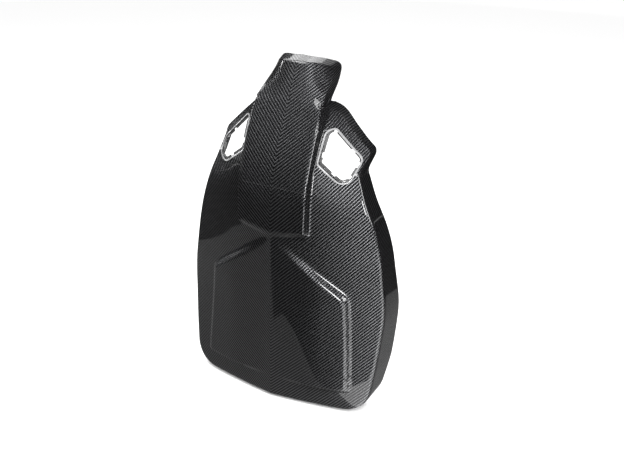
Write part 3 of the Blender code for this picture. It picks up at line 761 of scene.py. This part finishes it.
def twill(n):
    """The 2x2 twill: each float is a rounded bundle that arches over two others.

    Gives which tows are upright, how far a place is from the gaps, the height, the strands and the shade.
    """
    split = n.node("ShaderNodeSeparateXYZ")
    n.put(split.inputs[0], n.node("ShaderNodeUVMap", uv_map=WEAVE_UV).outputs[0])
    across_tows = n.math("DIVIDE", split.outputs[0], TOW)
    up_tows = n.math("DIVIDE", split.outputs[1], TOW)
    column, row = n.math("FLOOR", across_tows), n.math("FLOOR", up_tows)
    in_column, in_row = n.math("FRACT", across_tows), n.math("FRACT", up_tows)
    step = n.math("FLOORED_MODULO", n.math("SUBTRACT", row, column), 4.0)
    upright = n.math("LESS_THAN", step, 1.5)
    along_upright = n.math("MULTIPLY", n.math("ADD", step, in_row), 0.5)
    along_level = n.math("MULTIPLY", n.math("SUBTRACT", n.math("SUBTRACT", step, 1.0), in_column), 0.5)
    along = n.mix(upright, along_level, along_upright)
    across = n.mix(upright, in_row, in_column)
    off_middle = n.math("ABSOLUTE", n.math("SUBTRACT", n.math("MULTIPLY", across, 2.0), 1.0))
    off_centre = n.math("ABSOLUTE", n.math("SUBTRACT", n.math("MULTIPLY", along, 2.0), 1.0))
    bundle = n.math("SUBTRACT", 1.0, n.math("POWER", off_middle, 2.6))
    arch = n.math("SUBTRACT", 1.0, n.math("POWER", off_centre, 2.2))
    rise = n.math("ADD", n.math("MULTIPLY", arch, 0.6), 0.4)
    body = n.math("MULTIPLY", n.math("MULTIPLY", bundle, 0.55), rise)
    height = n.math("ADD", body, n.math("MULTIPLY", arch, 0.45))
    thread = n.math("ADD", n.mix(upright, row, column), n.math("MULTIPLY", upright, THREAD_GAP))
    run = n.math("MULTIPLY", n.mix(upright, across_tows, up_tows), 0.25)
    strands = n.noise(n.vector(n.math("MULTIPLY", n.math("ADD", thread, across), 9.0), run), 1.0, 2.0)
    cloth = n.noise(n.vector(split.outputs[0], split.outputs[1]), 14.0, 2.0)
    shade = n.math("ADD", n.math("MULTIPLY", strands, 0.7), n.math("MULTIPLY", cloth, 0.5))
    return upright, n.math("MULTIPLY", bundle, arch, clamp=True), height, strands, shade


def laminate_finish(name, gloss):
    """Carbon twill that shines across its tows; the level tows are painted paler, a painted sheen, and the
    upright ones darker, a painted shade.

    gloss is True for the show side under its clear coat, False for the satin hollow side.
    """
    n = Nodes(name)
    upright, off_gap, height, strands, shade = twill(n)
    # Painted sheen and shade: the level tows take the pale colour, the upright ones the dark one.
    lit = n.node("ShaderNodeMix", data_type="RGBA", blend_type="MULTIPLY")
    n.put(lit.inputs[0], 1.0)
    n.put(lit.inputs[6], n.colours(upright, LEVEL_SHEEN_COLOUR, UPRIGHT_SHADE_COLOUR))
    n.put(lit.inputs[7], n.colours(shade, (0.62, 0.62, 0.62), (1.25, 1.25, 1.27)))
    tangent = n.node("ShaderNodeTangent", direction_type="UV_MAP", uv_map=WEAVE_UV)
    made = n.set(
        Base_Color=n.colours(off_gap, GAP_COLOUR, lit.outputs[2]),
        Metallic=WEAVE_METAL if gloss else SATIN_METAL,
        Roughness=n.mix(strands, 0.40 if gloss else 0.48, 0.52 if gloss else 0.64),
        Anisotropic=0.9,
        Anisotropic_Rotation=n.mix(upright, 0.25, 0.0),
        Tangent=tangent.outputs[0],
        Normal=n.bump(height, 0.00035 if gloss else 0.00028, 0.75),
    )
    if gloss:
        ripple = n.noise(n.place(), 38.0, 1.5)
        n.set(Coat_Weight=1.0, Coat_Roughness=0.035, Coat_IOR=1.5, Coat_Normal=n.bump(ripple, 0.00012, 0.35))
    return made


def painted_light_finish(name, low, high, roughness):
    """A pale finish for the well's lip and ledge, with a fine speckle of tow ends: the paleness is painted
    light, a painted highlight on the rounded lip and painted light on the ledge.
    """
    n = Nodes(name)
    tows = n.noise(n.place(), 520.0, 2.0)
    return n.set(
        Base_Color=n.colours(tows, low, high),
        Roughness=n.mix(tows, roughness, roughness + 0.2),
        Normal=n.bump(tows, 0.0001, 0.4),
        Coat_Weight=0.6,
        Coat_Roughness=0.06,
    )


def nylon_finish():
    """Black moulded nylon with the fine grain of a spark-eroded tool."""
    n = Nodes("grained_nylon")
    grain = n.noise(n.place(), 2600.0, 2.0)
    flow = n.noise(n.place(), 60.0, 3.0)
    return n.set(
        Base_Color=n.colours(flow, (0.020, 0.020, 0.022), (0.042, 0.042, 0.045)),
        Roughness=n.mix(grain, 0.46, 0.66),
        Normal=n.bump(grain, 0.00008, 0.6),
    )


def steel_finish(name, low, high, stretch, patch):
    """Rolled strip: brushed along one direction, with faint patches from the bath it was dipped in."""
    n = Nodes(name)
    scale = n.node("ShaderNodeVectorMath", operation="MULTIPLY")
    n.put(scale.inputs[0], n.place())
    scale.inputs[1].default_value = stretch
    lines = n.noise(scale.outputs[0], 300.0, 4.0, 0.6)
    cells = n.noise(n.place(), patch, 2.0)
    share = n.math("ADD", n.math("MULTIPLY", lines, 0.6), n.math("MULTIPLY", cells, 0.4))
    return n.set(
        Base_Color=n.colours(share, low, high),
        Metallic=1.0,
        Roughness=n.mix(share, 0.22, 0.46),
        Normal=n.bump(lines, 0.00003, 0.5),
    )


def foam_finish():
    """Charcoal closed-cell foam: packed small cells that catch a little dust."""
    n = Nodes("closed_cell_foam")
    cells = n.node("ShaderNodeTexVoronoi", feature="F1")
    n.put(cells.inputs["Vector"], n.place())
    cells.inputs["Scale"].default_value = 900.0
    depth = cells.outputs["Distance"]
    dust = n.noise(n.place(), 90.0, 4.0)
    return n.set(
        Base_Color=n.colours(dust, (0.030, 0.030, 0.031), (0.070, 0.069, 0.068)),
        Roughness=n.mix(depth, 0.82, 0.97),
        Sheen_Weight=0.25,
        Normal=n.bump(depth, 0.0003, 0.7),
    )


def floor_finish():
    n = Nodes("studio_floor")
    return n.set(Base_Color=(0.86, 0.86, 0.86, 1.0), Roughness=0.9)


def glow(name, strength):
    """A plain even glow for a studio card."""
    n = Nodes(name)
    n.set(Base_Color=(0.0, 0.0, 0.0, 1.0), Roughness=1.0, Specular_IOR_Level=0.0)
    n.set(Emission_Color=(1.0, 1.0, 1.0, 1.0), Emission_Strength=strength)
    return n.made


# ==== studio ===================================================================================
def sight(azimuth, elevation):
    """The direction from the part towards azimuth and elevation in degrees; azimuth 0 is -Y, 90 is +X."""
    a, e = math.radians(azimuth), math.radians(elevation)
    return Vector((math.sin(a) * math.cos(e), -math.cos(a) * math.cos(e), math.sin(e)))


def reflected_only(obj):
    """Leaves a stage piece in reflections and takes it out of everything else."""
    obj.visible_camera = False
    obj.visible_diffuse = False
    obj.visible_shadow = False
    obj.visible_transmission = False


def stage_mesh(name, points, faces, finish):
    mesh = bpy.data.meshes.new(name)
    mesh.from_pydata([tuple(map(float, point)) for point in points], [], faces)
    mesh.materials.append(finish)
    obj = bpy.data.objects.new(name, mesh)
    bpy.context.scene.collection.objects.link(obj)
    return obj


def floor_card(name, points, strength, height):
    """A glowing or dark patch of floor that only reflections see."""
    corners = [(x, y, height) for x, y in points]
    reflected_only(stage_mesh(name, corners, [tuple(range(len(corners)))], glow(name, strength)))


def standing_card(name, azimuth, elevation, distance, width, height, strength, target):
    """A glowing panel that faces the part and that only reflections see."""
    way = sight(azimuth, elevation)
    middle = target + way * distance
    across = Vector((math.cos(math.radians(azimuth)), math.sin(math.radians(azimuth)), 0.0))
    up = across.cross(way) * -1
    signs = ((-1, -1), (1, -1), (1, 1), (-1, 1))
    corners = [middle + across * width * i * 0.5 + up * height * j * 0.5 for i, j in signs]
    reflected_only(stage_mesh(name, corners, [(0, 1, 2, 3)], glow(name, strength)))


def area_light(name, azimuth, elevation, distance, width, height, watts, target):
    data = bpy.data.lights.new(name, "AREA")
    data.shape = "RECTANGLE"
    data.size, data.size_y = width, height
    data.energy = watts
    lamp = bpy.data.objects.new(name, data)
    bpy.context.scene.collection.objects.link(lamp)
    way = sight(azimuth, elevation)
    lamp.location = target + way * distance
    lamp.rotation_mode = "QUATERNION"
    lamp.rotation_quaternion = way.to_track_quat("Z", "Y")
    lamp.visible_camera = False


def build_studio():
    middle = (cad_low + cad_high) / 2
    signs = ((-1, -1), (1, -1), (1, 1), (-1, 1))
    corners = [(FLOOR_HALF * i, FLOOR_HALF * j, cad_low.z) for i, j in signs]
    floor = stage_mesh("floor", corners, [(0, 1, 2, 3)], floor_finish())
    world = bpy.data.worlds.new("studio")
    world.use_nodes = True
    background = world.node_tree.nodes["Background"]
    background.inputs["Color"].default_value = (1.0, 1.0, 1.0, 1.0)
    background.inputs["Strength"].default_value = WORLD_STRENGTH
    bpy.context.scene.world = world
    dark_surround(middle)
    floor_cards(cad_low.z)
    for name, row in CARDS.items():
        standing_card(name, *row, AIMED.get(name, middle))
    for name, row in LAMPS.items():
        area_light(name, *row, AIMED.get(name, middle))
    bpy.context.scene.view_settings.view_transform = "Standard"


def dark_surround(middle):
    """A dark dome round the set, seen in reflections only, like the unlit studio beyond the lights."""
    points = []
    for i in range(DOME_RINGS + 1):
        elevation = math.radians(DOME_LOW + DOME_SPAN * i / DOME_RINGS)
        out, height = DOME_RADIUS * math.cos(elevation), DOME_RADIUS * math.sin(elevation)
        for k in range(DOME_TURNS):
            angle = 2 * math.pi * k / DOME_TURNS
            points.append((middle.x + out * math.cos(angle), middle.y + out * math.sin(angle), height))
    faces = loop_faces(DOME_RINGS + 1, DOME_TURNS, closed=False)
    faces.append(tuple(range(DOME_RINGS * DOME_TURNS, (DOME_RINGS + 1) * DOME_TURNS)))
    reflected_only(stage_mesh("dark_surround", points, faces, glow("dark_surround", SURROUND)))


def sector(inner, outer, start, end, centre=(0.0, 0.0)):
    """Corners of a part of a ring on the floor, between two azimuths."""
    turns = np.radians(np.linspace(start, end, 33))
    outside = [(centre[0] + outer * math.sin(a), centre[1] - outer * math.cos(a)) for a in turns]
    inside = [(centre[0] + inner * math.sin(a), centre[1] - inner * math.cos(a)) for a in turns[::-1]]
    return outside + inside


def floor_cards(floor_z):
    """What the gloss shows of the floor: a pale patch near the part, and a bright one to its right.

    It is dark beyond them and in front.
    """
    rows = [
        ("near_floor", sector(0.0, 1.10, -180, 180, FLOOR_MIDDLE), 0.32),
        ("far_floor", sector(0.92, 5.5, -180, 180, FLOOR_MIDDLE), 0.02),
        ("front_dark", FRONT_DARK, 0.02),
        ("right_bright", sector(0.22, 1.6, 48, 78), 2.6),
    ]
    for level, (name, corners, strength) in enumerate(rows, start=1):
        floor_card(name, corners, strength, floor_z + FLOOR_LIFT * level)


# ==== the scene ================================================================================
def shift_to_frame(laminate):
    """From the design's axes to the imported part: the panel's front and the bottom edge line up."""
    low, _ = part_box("back_shell")
    points = np.array([v.co for v in laminate.data.vertices])
    own_low = points.min(axis=0)
    return Matrix.Translation((0.0, low.y - own_low[1], low.z - own_low[2]))


def dress_cad(finishes):
    """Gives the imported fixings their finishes, by the start of each node's name."""
    for name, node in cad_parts.items():
        for start, finish in finishes.items():
            if name.startswith(start):
                node.data.materials.clear()
                node.data.materials.append(finish)


def build_camera():
    azimuth, elevation = CAMERA_SIGHT
    back = sight(azimuth, elevation)
    right = Vector((math.cos(math.radians(azimuth)), math.sin(math.radians(azimuth)), 0.0))
    up = back.cross(right)
    x_axis = right * math.cos(CAMERA_ROLL) + up * math.sin(CAMERA_ROLL)
    y_axis = up * math.cos(CAMERA_ROLL) - right * math.sin(CAMERA_ROLL)
    data = bpy.data.cameras.new("camera")
    data.lens = CAMERA_LENS
    data.sensor_width = CAMERA_SENSOR
    data.clip_start, data.clip_end = CAMERA_CLIP
    camera = bpy.data.objects.new("camera", data)
    bpy.context.scene.collection.objects.link(camera)
    axes = Matrix((x_axis, y_axis, back)).transposed().to_4x4()
    camera.matrix_world = Matrix.Translation(CAMERA_TARGET + back * CAMERA_DISTANCE) @ axes
    bpy.context.scene.camera = camera


def main():
    gloss = laminate_finish("carbon_gloss", True)
    satin = laminate_finish("carbon_satin", False)
    # The lip and the ledge are painted paler than the laminate: a painted highlight on the lip and painted
    # light on the ledge.
    lip = painted_light_finish("lip_painted_highlight", (0.12, 0.12, 0.125), (0.27, 0.27, 0.27), 0.15)
    ledge = painted_light_finish("ledge_painted_light", (0.008, 0.008, 0.009), (0.10, 0.10, 0.10), 0.35)
    foam = foam_finish()
    laminate = make_laminate([gloss, satin])
    shift = shift_to_frame(laminate)
    pieces = [(laminate, "back_shell", "carbon_laminate")]
    for side in (1, -1):
        pieces.append((opening_well(side, [gloss, lip, ledge]), "back_shell", "carbon_laminate"))
    for level in STRIPS:
        for hand in ("left", "right"):
            strip = foam_strip(level, hand, foam)
            pieces.append((strip, f"foam_strip_{level}_{hand}", "closed_cell_foam"))
    for piece, node, slot in pieces:
        piece.data.transform(shift)
        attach(piece, "root")
        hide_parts(node)
    nylon = nylon_finish()
    spring = steel_finish("spring_strip", (0.20, 0.20, 0.22), (0.46, 0.46, 0.49), (0.05, 1.0, 1.0), 60.0)
    zinc = steel_finish("zinc_plate", (0.50, 0.50, 0.49), (0.74, 0.73, 0.69), (0.2, 1.0, 1.0), 35.0)
    dress_cad({"clip_tower": nylon, "locating_pin": nylon})
    dress_cad({"spring_clip": spring, "u_nut": spring, "screw_bracket": zinc})
    build_studio()
    build_camera()


main()
